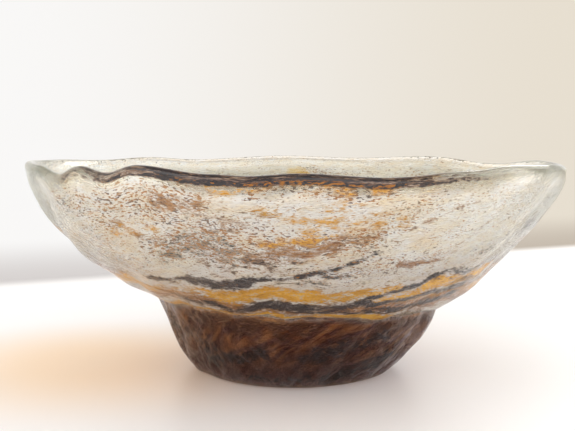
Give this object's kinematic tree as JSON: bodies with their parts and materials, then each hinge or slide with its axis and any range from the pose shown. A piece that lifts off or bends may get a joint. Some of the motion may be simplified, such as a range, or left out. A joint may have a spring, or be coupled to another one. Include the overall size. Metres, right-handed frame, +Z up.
{
  "type": "footed art glass bowl",
  "caption": "Round footed bowl of thick glass: a rippled clear casing with a wavy lip, fused round a dark brown cup and wavy amber and smoke rings.",
  "frame": {"origin": "middle of the flat face that the foot rests on, on the axis of the round foot", "axes": "+Z up along the bowl's axis, -Y towards the side that the picture shows, +X to that view's right"},
  "size_m": [0.25, 0.25, 0.1007],
  "materials": {
    "clear_glass": "clear, slightly grey-green, rippled outside and fire polished at the lip",
    "brown_glass": "dark purple-brown, nearly opaque where it is thick",
    "amber_glass": "clear gold to orange",
    "smoke_glass": "smoky blue-grey"
  },
  "bodies": {
    "root": {"clear_casing": "clear_glass", "brown_cup": "brown_glass", "amber_line": "amber_glass", "smoke_band": "smoke_glass", "amber_band": "amber_glass", "smoke_edge": "smoke_glass", "amber_flecks": "amber_glass", "smoke_flecks": "smoke_glass"}
  },
  "joints": []
}
